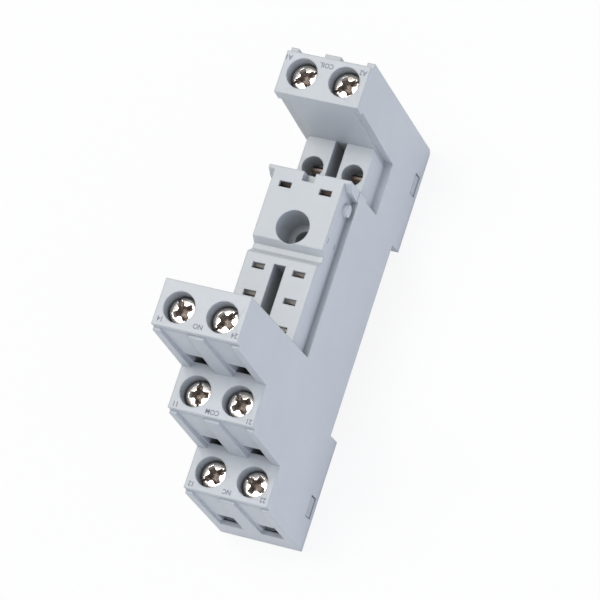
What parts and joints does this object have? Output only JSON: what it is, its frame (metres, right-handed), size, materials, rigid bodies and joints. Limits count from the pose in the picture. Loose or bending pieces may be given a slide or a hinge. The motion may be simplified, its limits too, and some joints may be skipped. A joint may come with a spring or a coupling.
{
  "type": "relay socket",
  "caption": "Stepped rail-mount relay socket with tiered screw terminals, rising clamp cages, a slotted relay seat, module sockets and a sprung rail latch.",
  "frame": {"origin": "middle of the footprint on the back plane, the latch's tab included", "axes": "+Z away from the rail, +Y towards the contact terminals, X across the body"},
  "size_m": [0.0154, 0.0786, 0.0574],
  "materials": {
    "grey_plastic": "fine matt",
    "base_plastic": "fine matt",
    "latch_plastic": "fine matt",
    "spring_steel": "bright wire",
    "screw_steel": "nickel plated",
    "cage_steel": "zinc plated",
    "contact_alloy": "bright rolled"
  },
  "bodies": {
    "socket": {"housing": "grey_plastic", "rear_base": "base_plastic", "latch_spring": "spring_steel", "contact_12": "contact_alloy", "contact_22": "contact_alloy", "contact_11": "contact_alloy", "contact_21": "contact_alloy", "contact_14": "contact_alloy", "contact_24": "contact_alloy", "contact_a1": "contact_alloy", "contact_a2": "contact_alloy"},
    "latch": {"rail_latch": "latch_plastic"},
    "screw_12": {"screw_12": "screw_steel"},
    "clamp_12": {"clamp_12": "cage_steel"},
    "screw_22": {"screw_22": "screw_steel"},
    "clamp_22": {"clamp_22": "cage_steel"},
    "screw_11": {"screw_11": "screw_steel"},
    "clamp_11": {"clamp_11": "cage_steel"},
    "screw_21": {"screw_21": "screw_steel"},
    "clamp_21": {"clamp_21": "cage_steel"},
    "screw_14": {"screw_14": "screw_steel"},
    "clamp_14": {"clamp_14": "cage_steel"},
    "screw_24": {"screw_24": "screw_steel"},
    "clamp_24": {"clamp_24": "cage_steel"},
    "screw_a1": {"screw_a1": "screw_steel"},
    "clamp_a1": {"clamp_a1": "cage_steel"},
    "screw_a2": {"screw_a2": "screw_steel"},
    "clamp_a2": {"clamp_a2": "cage_steel"}
  },
  "joints": [
    {"name": "latch_pull", "type": "slide", "parent": "socket", "child": "latch", "axis": [0, -1, 0], "range_m": [0, 0.0025], "stiffness_N_per_m": 1500, "springref_m": -0.002, "deforming": ["latch_spring"]},
    {"name": "screw_12_turn", "type": "hinge", "parent": "socket", "child": "screw_12", "pos_m": [0.0039, 0.03405, 0.0205], "axis": [0, 0, 1], "range_deg": [-2304, 0]},
    {"name": "clamp_12_rise", "type": "slide", "parent": "socket", "child": "clamp_12", "axis": [0, 0, 1], "range_m": [0, 0.0032]},
    {"name": "screw_22_turn", "type": "hinge", "parent": "socket", "child": "screw_22", "pos_m": [-0.0039, 0.03405, 0.0205], "axis": [0, 0, 1], "range_deg": [-2304, 0]},
    {"name": "clamp_22_rise", "type": "slide", "parent": "socket", "child": "clamp_22", "axis": [0, 0, 1], "range_m": [0, 0.0032]},
    {"name": "screw_11_turn", "type": "hinge", "parent": "socket", "child": "screw_11", "pos_m": [0.0039, 0.02505, 0.038], "axis": [0, 0, 1], "range_deg": [-2304, 0]},
    {"name": "clamp_11_rise", "type": "slide", "parent": "socket", "child": "clamp_11", "axis": [0, 0, 1], "range_m": [0, 0.0032]},
    {"name": "screw_21_turn", "type": "hinge", "parent": "socket", "child": "screw_21", "pos_m": [-0.0039, 0.02505, 0.038], "axis": [0, 0, 1], "range_deg": [-2304, 0]},
    {"name": "clamp_21_rise", "type": "slide", "parent": "socket", "child": "clamp_21", "axis": [0, 0, 1], "range_m": [0, 0.0032]},
    {"name": "screw_14_turn", "type": "hinge", "parent": "socket", "child": "screw_14", "pos_m": [0.0039, 0.01605, 0.0555], "axis": [0, 0, 1], "range_deg": [-2304, 0]},
    {"name": "clamp_14_rise", "type": "slide", "parent": "socket", "child": "clamp_14", "axis": [0, 0, 1], "range_m": [0, 0.0032]},
    {"name": "screw_24_turn", "type": "hinge", "parent": "socket", "child": "screw_24", "pos_m": [-0.0039, 0.01605, 0.0555], "axis": [0, 0, 1], "range_deg": [-2304, 0]},
    {"name": "clamp_24_rise", "type": "slide", "parent": "socket", "child": "clamp_24", "axis": [0, 0, 1], "range_m": [0, 0.0032]},
    {"name": "screw_a1_turn", "type": "hinge", "parent": "socket", "child": "screw_a1", "pos_m": [0.0039, -0.03305, 0.0376], "axis": [0, 0, 1], "range_deg": [-2304, 0]},
    {"name": "clamp_a1_rise", "type": "slide", "parent": "socket", "child": "clamp_a1", "axis": [0, 0, 1], "range_m": [0, 0.0032]},
    {"name": "screw_a2_turn", "type": "hinge", "parent": "socket", "child": "screw_a2", "pos_m": [-0.0039, -0.03305, 0.0376], "axis": [0, 0, 1], "range_deg": [-2304, 0]},
    {"name": "clamp_a2_rise", "type": "slide", "parent": "socket", "child": "clamp_a2", "axis": [0, 0, 1], "range_m": [0, 0.0032]}
  ],
  "couplings": [
    {"joint": "screw_12_turn", "follows": "clamp_12_rise", "rad_per_m": -12566},
    {"joint": "screw_22_turn", "follows": "clamp_22_rise", "rad_per_m": -12566},
    {"joint": "screw_11_turn", "follows": "clamp_11_rise", "rad_per_m": -12566},
    {"joint": "screw_21_turn", "follows": "clamp_21_rise", "rad_per_m": -12566},
    {"joint": "screw_14_turn", "follows": "clamp_14_rise", "rad_per_m": -12566},
    {"joint": "screw_24_turn", "follows": "clamp_24_rise", "rad_per_m": -12566},
    {"joint": "screw_a1_turn", "follows": "clamp_a1_rise", "rad_per_m": -12566},
    {"joint": "screw_a2_turn", "follows": "clamp_a2_rise", "rad_per_m": -12566}
  ]
}
